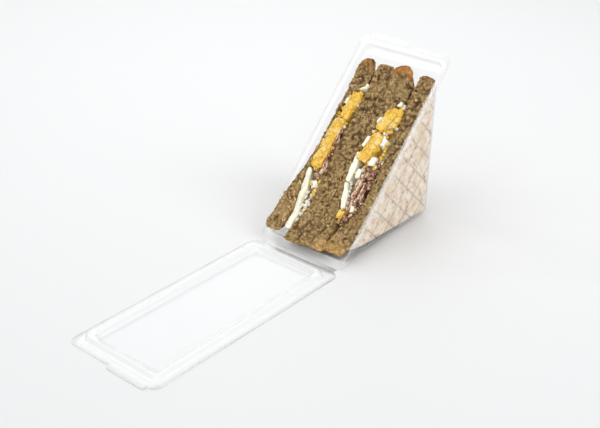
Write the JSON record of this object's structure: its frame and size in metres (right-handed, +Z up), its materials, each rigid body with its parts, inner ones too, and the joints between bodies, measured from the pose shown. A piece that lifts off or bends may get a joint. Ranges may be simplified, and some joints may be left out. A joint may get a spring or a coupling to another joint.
{
  "type": "hinged sandwich wedge pack with sandwich",
  "caption": "Clear thermoformed wedge pack on its base, hinged lid open flat in front, holding a cut bread sandwich with egg and bacon filling.",
  "frame": {"origin": "middle of the base tray's flat bottom panel, on the table", "axes": "+Z up; +Y towards the pack's upright back wall, so the open lid lies towards -Y; X across the pack, along the hinge"},
  "size_m": [0.087, 0.3284, 0.137],
  "materials": {
    "clear_plastic": "clear glossy sheet",
    "malted_bread": "open brown crumb with a darker crust",
    "egg_white": "moist, smooth",
    "egg_yolk": "crumbly, matt",
    "bacon": "moist, streaked"
  },
  "bodies": {
    "base": {"base_tray": "clear_plastic", "bread_slice_left": "malted_bread", "bread_slice_middle_left": "malted_bread", "bread_slice_middle_right": "malted_bread", "bread_slice_right": "malted_bread", "egg_filling_left": "egg_white", "egg_filling_right": "egg_white", "egg_yolk_left_upper": "egg_yolk", "egg_yolk_left_lower": "egg_yolk", "egg_white_left_cap": "egg_white", "egg_white_left_bit": "egg_white", "egg_white_left_strip": "egg_white", "bacon_left_upper": "bacon", "bacon_left_lower": "bacon", "egg_white_left_crumb": "egg_white", "egg_yolk_right_upper": "egg_yolk", "egg_yolk_right_side": "egg_yolk", "egg_yolk_right_lower": "egg_yolk", "egg_white_right_cap": "egg_white", "egg_white_right_bit": "egg_white", "egg_white_right_block": "egg_white", "egg_white_right_cube": "egg_white", "egg_white_right_upper_cube": "egg_white", "egg_white_right_strip": "egg_white", "egg_white_right_lower_strip": "egg_white", "egg_white_right_chip": "egg_white", "egg_yolk_right_crumb": "egg_yolk", "bacon_right_upper": "bacon", "bacon_right_strip": "bacon", "bacon_right_lower": "bacon", "egg_white_right_dot": "egg_white"},
    "lid": {"lid": "clear_plastic"}
  },
  "joints": [
    {"name": "lid_hinge", "type": "hinge", "parent": "base", "child": "lid", "pos_m": [0, -0.06449, -0.00057], "axis": [-1, 0, 0], "range_deg": [0, 134.1]}
  ]
}
